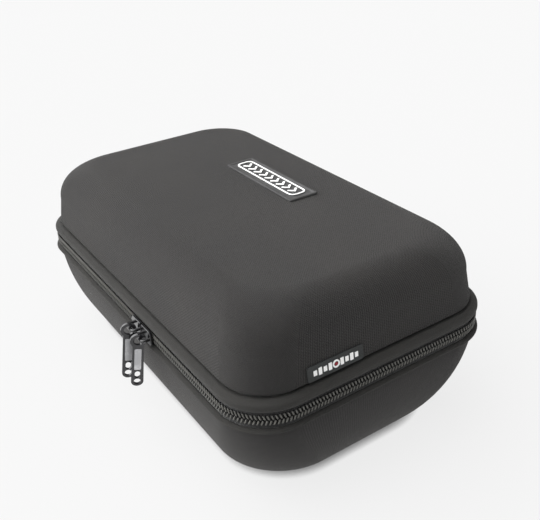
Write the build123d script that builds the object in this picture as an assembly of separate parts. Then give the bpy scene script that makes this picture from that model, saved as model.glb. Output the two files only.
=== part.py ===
"""A moulded, fabric-covered carrying case with a zip on three sides and a fabric hinge at the back.

Millimetres, +Z up. The origin is the centre of the flat bottom. The long side lies along X,
the zip sliders are on the front (-Y) and the fabric hinge is at the back (+Y).
An inset is a distance inwards from the widest outline of the case, at the lip of the base.
"""

import math
import os

from build123d import *

os.makedirs("parts", exist_ok=True)

# Whole case
LENGTH = 250.0
WIDTH = 153.0
HEIGHT = 105.0
CORNER = 28.0  # plan radius of the widest outline

# Moulded walls
WALL = 3.2
LINING = 0.8

# Base shell: its side is one elliptical curve from the rim down to the flat bottom
BASE_RIM_Z = 51.3
BASE_RIM_INSET = 2.6
BASE_CURVE_IN = 25.0
BASE_CURVE_Z = 51.0
BASE_CORNER = 25.4
BOTTOM_CORNER = 37.0

# Lid shell: a drafted side, then an elliptical shoulder up to the flat top
SEAM_Z = 68.0
SEAM_INSET = 4.9
LID_DRAFT = 2.1
LID_CURVE_IN = 18.6
LID_CURVE_Z = 20.6
LID_CORNER = 24.0
TOP_CORNER = 24.5

# Zip chain: plain strips stand for the two nylon coils
CHAIN_Z = 57.9
CHAIN_HALF = 2.9
CHAIN_GAP = 0.7  # from the middle of the chain to each strip
COIL_INSET = 1.4
COIL_THICK = 1.5
TAPE_THICK = 0.7
TAPE_INSET = COIL_INSET + COIL_THICK
TAPE_BACK = TAPE_INSET + TAPE_THICK

# Lip, band and seam
LIP_Z = (BASE_RIM_Z, 53.6)
LIP_INSET = 0.0
LIP_STEP = 0.5  # the lip's edges are drawn in by this much
BAND_BOTTOM_Z = 61.8
BAND_SHOULDER_Z = (62.9, 65.3)
BAND_SHOULDER_INSET = 1.2
BAND_FOOT_INSET = 1.8
WELT_HEIGHT = 0.8
WELT_INSET = 4.6
LID_TAPE_TOP_Z = 64.4

# Inner bias binding over the raw tape edges
BINDING_THICK = 1.0
BASE_BINDING_TOP_Z = 53.7
LID_BINDING_BOTTOM_Z = 62.1

# Fabric hinge at the back
HINGE_HALF_LENGTH = 74.0
HINGE_HALF_GAP = 0.15
HINGE_BASE_THICK = 2.6
HINGE_LID_THICK = 1.1
HINGE_BASE_BOTTOM_Z = 46.0
HINGE_LID_TOP_Z = 66.0
END_TAB_LENGTH = 7.0

# Foam in the base
FOAM_PAD_TOP_Z = 8.0
FOAM_TOP_Z = 30.0
ROUND_POCKET_X = -63.0
ROUND_POCKET_RADIUS = 33.0
LONG_POCKET_X = 38.0
LONG_POCKET_SIZE = (98.0, 82.0)
LONG_POCKET_CORNER = 8.0
FINGER_RADIUS = 11.0

# Mesh pocket in the lid
POCKET_Z = (69.0, 69.8)
POCKET_MOUTH_Y = -22.0
POCKET_BINDING = (4.0, 2.4)  # width and height of the elastic binding
POCKET_BINDING_HALF = 114.4

# Patch on the top and label on the right-hand side
PATCH_SIZE = (65.0, 18.0)
PATCH_CENTRE = (-2.0, 22.6)
PATCH_THICK = 1.0
PATCH_CORNER = 0.8
PATCH_FRAME = (57.0, 10.5)  # the raised outline on the patch
PATCH_FRAME_STROKE = 0.9
PATCH_CHEVRONS = 9
PATCH_CHEVRON_HEIGHT = 5.6
PATCH_CHEVRON_STROKE = 1.2
LABEL_SIZE = (30.5, 7.4)
LABEL_CENTRE_Y = -26.5
LABEL_BOTTOM_Z = 68.6
LABEL_THICK = 0.7
LABEL_BARS = (3.4, 2.4, 3.4, 2.4)  # heights, outwards from the middle
LABEL_BAR_WIDTH = 1.7
LABEL_BAR_PITCH = 2.7
LABEL_RING = (1.9, 1.2)  # radii of the ring in the label's middle
LABEL_DOT_RADIUS = 0.8
MOTIF_THICK = 0.3
STACK_GAP = 0.02  # glue line between stacked trim

# Sliders
SLIDER_X = {"left": 19.0, "right": 30.6}
SLIDER_LENGTH = 10.6
SLIDER_HALF_WIDTH = 4.1
SLIDER_TAIL_CUT = 1.6
SLIDER_PLATE_INSET = 1.0
FRONT_PLATE = 1.2
BACK_PLATE_INSET = 3.8
BACK_PLATE = 1.0
FLANGE = 1.0
FLANGE_REACH = 1.5
POST_LENGTH = 2.2
POST_HEIGHT = 0.8
BRIDGE_BAR_INSET = -4.0
BRIDGE_BAR_RADIUS = 0.9
BRIDGE_HALF_SPAN = 3.9
BRIDGE_BEND = 1.5

# Pull tabs
EYE_OUTER = 4.1
EYE_HOLE = 2.5
EYE_DROP = 1.0
EYE_OUT = 0.6
PULL_REACH = 30.0  # from the eye's centre to the tip
PULL_NECK = 5.6
PULL_END = 6.4
PULL_THICK = 1.4
PULL_RIM = 0.9
PULL_RECESS = 0.25
PULL_SLOT = (4.6, 2.8)
PULL_SLOT_REACH = 22.3
PULL_TIP_HOLE = (3.8, 3.6)
PULL_TIP_HOLE_REACH = 26.9
PULL_LEAN = 8.0
PULL_TWIST = 20.0
PULL_TILT = {"left": 1.5, "right": 6.0}  # both tabs hang a little to the left
PULL_PLATE = 0.2  # thickness of the bright plate in the outer recess
PULL_PLATE_GAP = 0.15
PULL_PANEL_CORNER = 0.8

ARC_STEPS = 8
SOFT_EDGE = 0.3


def outline(z, inset, radius):
    """The filled outline of the case at one height."""
    return Plane.XY.offset(z) * RectangleRounded(LENGTH - 2 * inset, WIDTH - 2 * inset, radius)


def lofted(levels):
    """A solid through a list of (height, inset, corner radius), straight from each level to the next."""
    return loft([outline(*level) for level in levels], ruled=True)


def base_levels(depth):
    """Levels of the base's side, taken inwards by a depth, from the bottom up."""
    levels = []
    for step in range(ARC_STEPS + 1):
        turn = math.radians(90 * (1 - step / ARC_STEPS))
        share = math.sin(turn)
        inset = BASE_RIM_INSET + BASE_CURVE_IN - (BASE_CURVE_IN - depth) * math.cos(turn)
        z = BASE_CURVE_Z - (BASE_CURVE_Z - depth) * share
        corner = BASE_CORNER + (BOTTOM_CORNER - BASE_CORNER) * share - depth * math.cos(turn)
        levels.append((z, inset, corner))
    levels.append((BASE_RIM_Z, BASE_RIM_INSET + depth, BASE_CORNER - depth))
    return levels


def lid_levels(depth):
    """Levels of the lid's side, taken inwards by a depth, from the seam up."""
    shoulder = HEIGHT - LID_CURVE_Z
    levels = [(SEAM_Z, SEAM_INSET + depth, LID_CORNER - depth)]
    for step in range(ARC_STEPS + 1):
        turn = math.radians(90 * step / ARC_STEPS)
        share = math.sin(turn)
        inset = SEAM_INSET + LID_DRAFT + LID_CURVE_IN - (LID_CURVE_IN - depth) * math.cos(turn)
        z = shoulder + (LID_CURVE_Z - depth) * share
        corner = LID_CORNER + (TOP_CORNER - LID_CORNER) * share - depth * math.cos(turn)
        levels.append((z, inset, corner))
    return levels


def ring(z_low, z_high, inset, thickness):
    """An upright strip that runs all round the case."""
    outer = outline(z_low, inset, CORNER - inset)
    inner = outline(z_low, inset + thickness, CORNER - inset - thickness)
    return extrude(outer - inner, z_high - z_low)


def block(x_range, y_range, z_range):
    """A box between two corners."""
    size = [high - low for low, high in (x_range, y_range, z_range)]
    centre = [(high + low) / 2 for low, high in (x_range, y_range, z_range)]
    return Pos(*centre) * Box(*size)


def hinge_zone(half_length):
    """The stretch at the back of the case that the fabric hinge takes up."""
    return block((-half_length, half_length), (0, WIDTH), (0, HEIGHT))


def save(shape, node):
    """Writes one sub-part."""
    shape.label = node
    export_step(shape, f"parts/{node}.step")


def shells():
    """The two moulded shells and the thin linings inside them. Returns the hollows of the base and the lid."""
    hollows = []
    for name, levels in (("base", base_levels), ("lid", lid_levels)):
        middle = lofted(levels(WALL))
        inner = lofted(levels(WALL + LINING))
        save(lofted(levels(0)) - middle, f"{name}_shell")
        save(middle - inner, f"{name}_lining")
        hollows.append(inner)
    return hollows


def zip_chain():
    """Both zip tapes and both coils. The coils stop where the fabric hinge starts."""
    save(ring(BASE_RIM_Z, CHAIN_Z - CHAIN_GAP, TAPE_INSET, TAPE_THICK), "base_zip_tape")
    save(ring(CHAIN_Z + CHAIN_GAP, LID_TAPE_TOP_Z, TAPE_INSET, TAPE_THICK), "lid_zip_tape")
    cut = hinge_zone(HINGE_HALF_LENGTH + END_TAB_LENGTH)
    lower = ring(CHAIN_Z - CHAIN_HALF, CHAIN_Z - CHAIN_GAP, COIL_INSET, COIL_THICK) - cut
    upper = ring(CHAIN_Z + CHAIN_GAP, CHAIN_Z + CHAIN_HALF, COIL_INSET, COIL_THICK) - cut
    save(lower, "base_zip_coil")
    save(upper, "lid_zip_coil")


def lip():
    """The folded lip where the base's cover meets the zip tape."""
    low, high = LIP_Z
    step = LIP_STEP
    levels = [
        (low, LIP_INSET + step, CORNER - LIP_INSET - step),
        (low + step, LIP_INSET, CORNER - LIP_INSET),
        (high - step, LIP_INSET, CORNER - LIP_INSET),
        (high, LIP_INSET + step, CORNER - LIP_INSET - step),
    ]
    inner = extrude(outline(low, TAPE_INSET, CORNER - TAPE_INSET), high - low)
    save(lofted(levels) - inner - hinge_zone(HINGE_HALF_LENGTH), "base_lip")


def band():
    """The padded fabric band between the lid's seam and the zip, with the welt in its seam."""
    low, high = BAND_SHOULDER_Z
    top = SEAM_Z - WELT_HEIGHT
    outer = [
        (BAND_BOTTOM_Z, BAND_FOOT_INSET, CORNER - BAND_FOOT_INSET),
        (low, BAND_SHOULDER_INSET, CORNER - BAND_SHOULDER_INSET),
        (high, BAND_SHOULDER_INSET, CORNER - BAND_SHOULDER_INSET),
        (top, SEAM_INSET, LID_CORNER),
    ]
    inner = [
        (BAND_BOTTOM_Z, TAPE_INSET, CORNER - TAPE_INSET),
        (LID_TAPE_TOP_Z, TAPE_INSET, CORNER - TAPE_INSET),
        (LID_TAPE_TOP_Z + SOFT_EDGE, TAPE_BACK, CORNER - TAPE_BACK),
        (top, SEAM_INSET + WALL, LID_CORNER - WALL),
    ]
    save(lofted(outer) - lofted(inner), "lid_band")
    edge = outline(top, WELT_INSET, LID_CORNER + SEAM_INSET - WELT_INSET)
    hole = outline(top, SEAM_INSET + WALL, LID_CORNER - WALL)
    save(extrude(edge - hole, WELT_HEIGHT), "lid_seam_welt")


def bindings():
    """Bias bindings over the inner edges of the tapes."""
    base = ring(BASE_RIM_Z, BASE_BINDING_TOP_Z, TAPE_BACK, BINDING_THICK)
    save(base, "base_inner_binding")
    lid = ring(LID_BINDING_BOTTOM_Z, LID_TAPE_TOP_Z, TAPE_BACK, BINDING_THICK)
    save(lid, "lid_inner_binding")


def fabric_hinge():
    """The fabric strip at the back, in two halves that meet at the hinge line, and the zip's end tabs."""
    x_range = (-HINGE_HALF_LENGTH, HINGE_HALF_LENGTH)
    back = WIDTH / 2
    lower = block(x_range, (back - HINGE_BASE_THICK, back), (HINGE_BASE_BOTTOM_Z, CHAIN_Z - HINGE_HALF_GAP))
    upper = block(x_range, (back - HINGE_LID_THICK, back), (CHAIN_Z + HINGE_HALF_GAP, HINGE_LID_TOP_Z))
    save(lower, "hinge_strip_base")
    save(upper, "hinge_strip_lid")
    inner = HINGE_HALF_LENGTH + SOFT_EDGE
    for side, sign in (("left", -1), ("right", 1)):
        ends = sorted((sign * inner, sign * (inner + END_TAB_LENGTH)))
        y_range = (back - COIL_INSET, back - SOFT_EDGE)
        tab = block(ends, y_range, (LIP_Z[1] + SOFT_EDGE, CHAIN_Z - CHAIN_GAP))
        save(tab, f"zip_end_tab_{side}")


def foam(base_hollow):
    """A solid foam pad with a die-cut foam insert on it, both shaped to the base's hollow."""
    depth = WALL + LINING
    half = LENGTH / 2
    pad = base_hollow & block((-half, half), (-half, half), (depth, FOAM_PAD_TOP_Z))
    save(pad, "foam_pad")
    insert = base_hollow & block((-half, half), (-half, half), (FOAM_PAD_TOP_Z, FOAM_TOP_Z))
    cut_z = FOAM_TOP_Z - FOAM_PAD_TOP_Z
    round_cut = Pos(ROUND_POCKET_X, 0) * Circle(ROUND_POCKET_RADIUS)
    long_cut = Pos(LONG_POCKET_X, 0) * RectangleRounded(*LONG_POCKET_SIZE, LONG_POCKET_CORNER)
    fingers = [Pos(LONG_POCKET_X, side * LONG_POCKET_SIZE[1] / 2) * Circle(FINGER_RADIUS) for side in (-1, 1)]
    holes = round_cut + long_cut + fingers[0] + fingers[1]
    save(insert - Pos(0, 0, FOAM_PAD_TOP_Z) * extrude(holes, cut_z), "foam_insert")


def mesh_pocket(lid_hollow):
    """A mesh sheet over the hinge side of the lid's hollow, with an elastic binding at its mouth."""
    half = LENGTH / 2
    sheet = lid_hollow & block((-half, half), (POCKET_MOUTH_Y, half), POCKET_Z)
    save(sheet, "mesh_pocket")
    width, height = POCKET_BINDING
    middle = sum(POCKET_Z) / 2
    x_range = (-POCKET_BINDING_HALF, POCKET_BINDING_HALF)
    y_range = (POCKET_MOUTH_Y - width, POCKET_MOUTH_Y)
    save(block(x_range, y_range, (middle - height / 2, middle + height / 2)), "pocket_binding")


def chevrons(count, length, height, stroke):
    """A row of plain chevrons, centred on the origin."""
    pitch = length / count
    row = Sketch()
    for index in range(count):
        x = pitch * (index + 0.5) - length / 2
        arrow = Polyline((x - height / 4, height / 2), (x + height / 4, 0), (x - height / 4, -height / 2))
        row += trace(arrow, stroke)
    return row


def patch():
    """The sewn patch on the top and its raised motif: a row of chevrons in an outline."""
    x, y = PATCH_CENTRE
    plate = extrude(RectangleRounded(*PATCH_SIZE, PATCH_CORNER), PATCH_THICK)
    width, height = PATCH_FRAME
    hole = [size - 2 * PATCH_FRAME_STROKE for size in PATCH_FRAME]
    motif = RectangleRounded(width, height, height / 3) - RectangleRounded(*hole, hole[1] / 3)
    motif += chevrons(PATCH_CHEVRONS, hole[0] - hole[1] / 2, PATCH_CHEVRON_HEIGHT, PATCH_CHEVRON_STROKE)
    save(Pos(x, y, HEIGHT + STACK_GAP) * plate, "top_patch")
    save(Pos(x, y, HEIGHT + PATCH_THICK + 2 * STACK_GAP) * extrude(motif, MOTIF_THICK), "top_patch_motif")


def label():
    """The woven label on the right-hand side of the lid, leaning with the drafted wall."""
    lean = math.atan2(LID_DRAFT, HEIGHT - LID_CURVE_Z - SEAM_Z)
    foot_inset = SEAM_INSET + (LABEL_BOTTOM_Z - SEAM_Z) * math.tan(lean)
    foot = (LENGTH / 2 - foot_inset + 3 * STACK_GAP, LABEL_CENTRE_Y, LABEL_BOTTOM_Z)
    wall = Plane(foot, x_dir=(0, 1, 0), z_dir=(math.cos(lean), 0, math.sin(lean)))
    width, height = LABEL_SIZE
    plate = extrude(Pos(0, height / 2) * RectangleRounded(width, height, PATCH_CORNER), LABEL_THICK)
    motif = Circle(LABEL_RING[0]) - Circle(LABEL_RING[1])
    for index, bar_height in enumerate(LABEL_BARS):
        x = LABEL_RING[0] + LABEL_BAR_PITCH * (index + 0.5)
        for side in (-1, 1):
            motif += Pos(side * x, 0) * Rectangle(LABEL_BAR_WIDTH, bar_height)
    face = wall * Pos(0, height / 2, LABEL_THICK + STACK_GAP)
    save(wall * plate, "side_label")
    save(face * extrude(motif, MOTIF_THICK), "side_label_motif")
    save(face * extrude(Circle(LABEL_DOT_RADIUS), MOTIF_THICK), "side_label_dot")


def slider(mouth):
    """A slider centred on X = 0, on the front of the case. Its mouth faces +X or -X, by the sign given."""
    front = -WIDTH / 2
    half, tall, cut = SLIDER_LENGTH / 2, SLIDER_HALF_WIDTH, SLIDER_TAIL_CUT
    points = [(half, tall), (-half + cut, tall), (-half, tall - cut)]
    points += [(-half, cut - tall), (-half + cut, -tall), (half, -tall)]
    face = make_face(Polyline(*[(mouth * x, z + CHAIN_Z) for x, z in points], close=True))
    face = fillet(face.vertices(), SOFT_EDGE * 2)
    outward = Plane((0, front, 0), x_dir=(1, 0, 0), z_dir=(0, -1, 0))
    body = extrude(outward.offset(-SLIDER_PLATE_INSET) * face, FRONT_PLATE)
    body = fillet(body.faces().sort_by(Axis.Y)[0].edges(), SOFT_EDGE)
    body += extrude(outward.offset(-BACK_PLATE_INSET - BACK_PLATE) * face, BACK_PLATE)
    x_range = sorted((-mouth * (half - cut), mouth * half))
    y_range = (front + SLIDER_PLATE_INSET, front + SLIDER_PLATE_INSET + FLANGE_REACH)
    body += block(x_range, y_range, (CHAIN_Z - tall, CHAIN_Z - tall + FLANGE))
    x_range = sorted((mouth * (half - POST_LENGTH), mouth * half))
    y_range = (front + SLIDER_PLATE_INSET, front + BACK_PLATE_INSET)
    body += block(x_range, y_range, (CHAIN_Z - POST_HEIGHT / 2, CHAIN_Z + POST_HEIGHT / 2))
    bar_y = front + BRIDGE_BAR_INSET
    foot_y = front + SLIDER_PLATE_INSET - FRONT_PLATE / 2
    span = BRIDGE_HALF_SPAN
    line = FilletPolyline(
        (-span, foot_y, CHAIN_Z), (-span, bar_y, CHAIN_Z), (span, bar_y, CHAIN_Z), (span, foot_y, CHAIN_Z),
        radius=BRIDGE_BEND,
    )
    foot = Plane((-span, foot_y, CHAIN_Z), z_dir=(0, -1, 0))
    return body + sweep(foot * Circle(BRIDGE_BAR_RADIUS), path=line)


def pull(tilt):
    """A pull tab whose eye rings the bridge of a slider centred on X = 0, and the plate in its outer recess."""
    half_neck, half_end = PULL_NECK / 2, PULL_END / 2
    shoulder = PULL_REACH - half_end
    body = make_face(Polyline((-half_neck, 0), (half_neck, 0), (half_end, -shoulder), (-half_end, -shoulder),
                              close=True))
    body += Pos(0, -shoulder) * Circle(half_end)
    slot = Pos(0, -PULL_SLOT_REACH) * SlotOverall(*PULL_SLOT, rotation=90)
    tip_hole = Pos(0, -PULL_TIP_HOLE_REACH) * SlotOverall(*PULL_TIP_HOLE, rotation=90)
    outer = body + Circle(EYE_OUTER) - slot - tip_hole - Circle(EYE_HOLE)
    half_thick = PULL_THICK / 2
    tab = Pos(0, 0, -half_thick) * extrude(outer, PULL_THICK)
    panel_top = EYE_OUTER + PULL_RIM
    panel_end = PULL_SLOT_REACH - PULL_SLOT[0] / 2 - PULL_RIM
    width, length = PULL_NECK - PULL_RIM * 2, panel_end - panel_top
    middle = Pos(0, -(panel_top + panel_end) / 2)
    panel = middle * RectangleRounded(width, length, PULL_PANEL_CORNER)
    for depth in (-half_thick, half_thick - PULL_RECESS):
        tab -= Pos(0, 0, depth) * extrude(panel, PULL_RECESS)
    gap = 2 * PULL_PLATE_GAP
    inlay = middle * RectangleRounded(width - gap, length - gap, PULL_PANEL_CORNER - PULL_PLATE_GAP)
    plate = Pos(0, 0, half_thick - PULL_RECESS + STACK_GAP) * extrude(inlay, PULL_PLATE)
    lean, twist = math.radians(PULL_LEAN), math.radians(PULL_TWIST)
    normal = Vector(math.cos(twist), -math.sin(twist), 0)
    inward = Vector(math.sin(twist), math.cos(twist), 0)
    level = inward * math.cos(lean) + Vector(0, 0, -math.sin(lean))
    centre = Vector(0, BRIDGE_BAR_INSET - WIDTH / 2 - EYE_OUT, CHAIN_Z - EYE_DROP)
    place = Plane(centre, x_dir=level, z_dir=normal) * Rot(tilt, 0, 0)
    return place * tab, place * plate


def sliders_and_pulls():
    """Two sliders that close towards each other, each with its pull tab."""
    for side, mouth in (("left", 1), ("right", -1)):
        place = Pos(SLIDER_X[side], 0, 0)
        tab, plate = pull(PULL_TILT[side])
        save(place * slider(mouth), f"slider_{side}")
        save(place * tab, f"pull_tab_{side}")
        save(place * plate, f"pull_plate_{side}")


base_hollow, lid_hollow = shells()
zip_chain()
lip()
band()
bindings()
fabric_hinge()
foam(base_hollow)
mesh_pocket(lid_hollow)
patch()
label()
sliders_and_pulls()
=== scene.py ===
"""The looks of a zippered, fabric-covered carrying case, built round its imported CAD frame.

Everything is in metres, in the CAD's own frame: X along the case, -Y the front with the sliders, +Z up.
An inset is a distance inwards from the widest outline of the case, which is the lip of the base.
"""

import math

import bmesh
import bpy
import numpy as np
from mathutils import Matrix, Vector


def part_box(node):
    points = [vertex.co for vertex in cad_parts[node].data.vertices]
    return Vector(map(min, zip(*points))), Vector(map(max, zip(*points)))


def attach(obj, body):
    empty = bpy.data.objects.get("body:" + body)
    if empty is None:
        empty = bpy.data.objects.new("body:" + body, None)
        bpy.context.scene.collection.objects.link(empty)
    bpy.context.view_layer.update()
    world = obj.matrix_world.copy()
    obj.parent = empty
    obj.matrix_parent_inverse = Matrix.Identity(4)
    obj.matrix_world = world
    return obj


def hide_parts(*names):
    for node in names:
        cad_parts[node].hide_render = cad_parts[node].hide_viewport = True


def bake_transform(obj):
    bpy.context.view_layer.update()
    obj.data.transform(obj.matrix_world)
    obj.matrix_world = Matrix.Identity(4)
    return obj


MM = 0.001
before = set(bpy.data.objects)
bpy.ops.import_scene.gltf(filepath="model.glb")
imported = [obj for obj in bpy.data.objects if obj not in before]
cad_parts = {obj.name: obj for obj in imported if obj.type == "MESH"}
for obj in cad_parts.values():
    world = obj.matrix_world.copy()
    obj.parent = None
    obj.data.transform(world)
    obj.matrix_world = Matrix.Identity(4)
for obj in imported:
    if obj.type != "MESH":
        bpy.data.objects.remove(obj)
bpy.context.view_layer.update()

# ---------------------------------------------------------------- sizes read from the frame

lip_low, lip_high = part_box("base_lip")
_, base_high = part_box("base_shell")
lid_low, lid_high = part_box("lid_shell")
band_low, band_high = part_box("lid_band")
coil_low, coil_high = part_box("base_zip_coil")
_, lid_coil_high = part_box("lid_zip_coil")
_, tape_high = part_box("base_zip_tape")
HALF_X = lip_high.x
HALF_Y = lip_high.y
SEAM_Z = lid_low.z
TOP_Z = lid_high.z
BASE_RIM_Z = base_high.z
BASE_INSET = HALF_X - base_high.x
SEAM_INSET = HALF_X - lid_high.x
COIL_INSET = HALF_X - coil_high.x
TAPE_INSET = HALF_X - tape_high.x
CHAIN_Z = (coil_low.z + lid_coil_high.z) / 2
CHAIN_HALF = lid_coil_high.z - CHAIN_Z
HINGE_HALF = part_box("hinge_strip_lid")[1].x
COIL_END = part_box("zip_end_tab_right")[1].x

# ---------------------------------------------------------------- shape of the two shells, as in the CAD

CORNER = 28 * MM  # of the outline at inset 0
BASE_CORNER = 25.4 * MM
BOTTOM_CORNER = 37 * MM
BASE_CURVE_IN = 25 * MM
BASE_CURVE_Z = 51 * MM
LID_CORNER = 24 * MM
TOP_CORNER = 24.5 * MM
LID_DRAFT = 2.1 * MM
LID_CURVE_IN = 18.6 * MM
LID_CURVE_Z = 20.6 * MM
WALL = 3.2 * MM
LINING = 0.8 * MM
TOP_CROWN = 0.9 * MM

# ---------------------------------------------------------------- outlines and meshes

BACK, LEFT, FRONT, RIGHT = 0, 1, 2, 3
STRAIGHT_STEPS = {BACK: 40, LEFT: 24, FRONT: 40, RIGHT: 24}
CORNER_STEPS = 20


def stations(gap=0.0, fine=1):
    """Places round the outline, as (side, share, corner angle or None), from the back's middle by the left.

    With a gap the outline is open at the back, for that distance each side of the middle."""
    places = []
    half_steps = STRAIGHT_STEPS[BACK] // 2 * fine

    def straight(side, start, end, steps):
        places.extend((side, start + (end - start) * k / steps, None) for k in range(steps))

    def corner(side):
        steps = CORNER_STEPS * fine
        places.extend((side, 0, 90 * (side + 1) + 90 * k / steps) for k in range(steps))

    cut = gap / (HALF_X - CORNER) / 2
    straight(BACK, 0.5 + cut, 1, half_steps)
    corner(BACK)
    for side in (LEFT, FRONT, RIGHT):
        straight(side, 0, 1, STRAIGHT_STEPS[side] * fine)
        corner(side)
    straight(BACK, 0, 0.5 - cut, half_steps)
    if gap:
        places.append((BACK, 0.5 - cut, None))
    return places


def outline(places, inset, radius):
    """Points and outward normals of the rounded outline at those places."""
    ax, ay = HALF_X - inset - radius, HALF_Y - inset - radius
    centres = ((-ax, ay), (-ax, -ay), (ax, -ay), (ax, ay))  # the corner that follows each side
    points, normals = [], []
    for side, share, angle in places:
        turn = math.radians(90 * (side + 1) if angle is None else angle)
        normal = (math.cos(turn), math.sin(turn))
        if angle is None:
            (x0, y0), (x1, y1) = centres[side - 1], centres[side]
            centre = (x0 + (x1 - x0) * share, y0 + (y1 - y0) * share)
        else:
            centre = centres[side]
        points.append((centre[0] + radius * normal[0], centre[1] + radius * normal[1]))
        normals.append(normal)
    return np.array(points), np.array(normals)


def signed_power(value, power):
    """A power of a number's size, with the number's sign."""
    return math.copysign(abs(value) ** power, value)


def arc_lengths(points):
    """Distance along a line of points, from its start."""
    steps = np.linalg.norm(np.diff(points, axis=0), axis=1)
    return np.concatenate([[0.0], np.cumsum(steps)])


def make_object(name, vertices, faces, uvs=None, smooth=True):
    """A mesh object. uvs gives one (u, v) in metres for each vertex."""
    mesh = bpy.data.meshes.new(name)
    mesh.from_pydata([tuple(v) for v in vertices], [], faces)
    if uvs is not None:
        layer = mesh.uv_layers.new(name="cloth")
        index = np.zeros(len(mesh.loops), int)
        mesh.loops.foreach_get("vertex_index", index)
        layer.data.foreach_set("uv", np.asarray(uvs, float)[index].ravel())
    mesh.polygons.foreach_set("use_smooth", [smooth] * len(mesh.polygons))
    mesh.update()
    obj = bpy.data.objects.new(name, mesh)
    bpy.context.scene.collection.objects.link(obj)
    return obj


def tidy_normals(obj):
    """Faces all pointing outwards."""
    mesh = bmesh.new()
    mesh.from_mesh(obj.data)
    bmesh.ops.recalc_face_normals(mesh, faces=mesh.faces)
    mesh.to_mesh(obj.data)
    mesh.free()
    return obj


def grid_faces(rows, columns, wrap_columns=True, wrap_rows=False, start=0):
    """Quads between neighbouring rows of a grid of vertices."""
    faces = []
    for i in range(rows if wrap_rows else rows - 1):
        for j in range(columns if wrap_columns else columns - 1):
            k, m = (i + 1) % rows, (j + 1) % columns
            quad = (i * columns + j, i * columns + m, k * columns + m, k * columns + j)
            faces.append(tuple(start + n for n in quad))
    return faces


def sheet_faces(rows, columns):
    """Faces of a closed sheet: a grid of rows by columns quads, a second one behind it, and the edge between."""
    width = columns + 1
    size = (rows + 1) * width
    faces = grid_faces(rows + 1, width, wrap_columns=False)
    faces += grid_faces(rows + 1, width, wrap_columns=False, start=size)
    border = list(range(width)) + [i * width + columns for i in range(1, rows + 1)]
    border += [rows * width + j for j in range(columns - 1, -1, -1)]
    border += [i * width for i in range(rows - 1, 0, -1)]
    faces += [(a, b, b + size, a + size) for a, b in zip(border, border[1:] + border[:1])]
    return faces


def sweep_ring(name, profile, gap=0.0, wobble=None):
    """A closed section, as (inset, height) points, carried all round the case.

    wobble gives a shift outwards and a lift for each distance along the outline."""
    places = stations(gap)
    along = arc_lengths(outline(places, profile[0][0], CORNER - profile[0][0])[0])
    around = arc_lengths(np.array(profile))
    count = len(profile)
    vertices, uvs = [], []
    for (inset, z), v in zip(profile, around):
        points, normals = outline(places, inset, CORNER - inset)
        for point, normal, u in zip(points, normals, along):
            shift, lift = wobble(u) if wobble else (0.0, 0.0)
            vertices.append((*(point + normal * shift), z + lift))
            uvs.append((u, v))
    columns = len(places)
    faces = grid_faces(count, columns, wrap_columns=not gap, wrap_rows=True)
    if gap:
        faces.append(tuple(i * columns for i in range(count)))
        faces.append(tuple(i * columns + columns - 1 for i in reversed(range(count))))
    return tidy_normals(make_object(name, vertices, faces, uvs))


def base_level(depth, share):
    """Height, inset and corner radius on the base's side, for a share of the quarter turn from the rim down."""
    turn = math.radians(90 * share)
    drop = math.sin(turn)
    inset = BASE_INSET + BASE_CURVE_IN - (BASE_CURVE_IN - depth) * math.cos(turn)
    z = BASE_CURVE_Z - (BASE_CURVE_Z - depth) * drop
    return z, inset, BASE_CORNER + (BOTTOM_CORNER - BASE_CORNER) * drop - depth * math.cos(turn)


def lid_level(depth, share):
    """The same on the lid's side, from its shoulder up."""
    turn = math.radians(90 * share)
    rise = math.sin(turn)
    inset = SEAM_INSET + LID_DRAFT + LID_CURVE_IN - (LID_CURVE_IN - depth) * math.cos(turn)
    z = TOP_Z - TOP_CROWN - LID_CURVE_Z + (LID_CURVE_Z - depth) * rise
    return z, inset, LID_CORNER + (TOP_CORNER - LID_CORNER) * rise - depth * math.cos(turn)


SIDE_STEPS = 7
CURVE_STEPS = 22
FLAT_STEPS = 14
CENTRE_SLOT = 1.5 * MM  # half the width of the innermost ring, which one face closes
CENTRE_RADIUS = CENTRE_SLOT * 0.9


def flat_levels(last, crown):
    """Levels from the edge of the flat to its middle, rising by a crown that eases in."""
    z, inset, corner = last
    end_inset = HALF_Y - CENTRE_SLOT
    levels = []
    for step in range(1, FLAT_STEPS + 1):
        share = step / FLAT_STEPS
        here = inset + (end_inset - inset) * share
        radius = corner + (CENTRE_RADIUS - corner) * share
        levels.append((z + crown * math.sin(math.pi / 2 * share), here, radius))
    return levels


TUCK_BEND = 0.3  # share of a tuck, for the ring at the middle of its bend


def lid_surface(depth, edge_tuck=0.0):
    """Levels of a surface of the lid from the seam to the top's middle. A tuck rounds the edge at the seam."""
    shoulder_z = lid_level(depth, 0)[0]
    levels = []
    for step in range(SIDE_STEPS):
        share = step / SIDE_STEPS
        z = SEAM_Z + (shoulder_z - SEAM_Z) * share
        levels.append((z, SEAM_INSET + LID_DRAFT * share + depth, LID_CORNER - depth))
    if edge_tuck:
        z, inset, corner = levels[0]
        levels[0] = (z + edge_tuck, inset, corner)
        bend = edge_tuck * TUCK_BEND
        levels.insert(0, (z + bend, inset + bend, corner - bend))
        levels.insert(0, (z, inset + edge_tuck, corner - edge_tuck))
    levels += [lid_level(depth, step / CURVE_STEPS) for step in range(CURVE_STEPS + 1)]
    return levels + flat_levels(levels[-1], TOP_CROWN)


def base_surface(depth):
    """Levels of a surface of the base from the rim to the bottom's middle."""
    levels = [(BASE_RIM_Z, BASE_INSET + depth, BASE_CORNER - depth)]
    levels += [base_level(depth, step / CURVE_STEPS) for step in range(CURVE_STEPS + 1)]
    return levels + flat_levels(levels[-1], 0.0)


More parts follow.
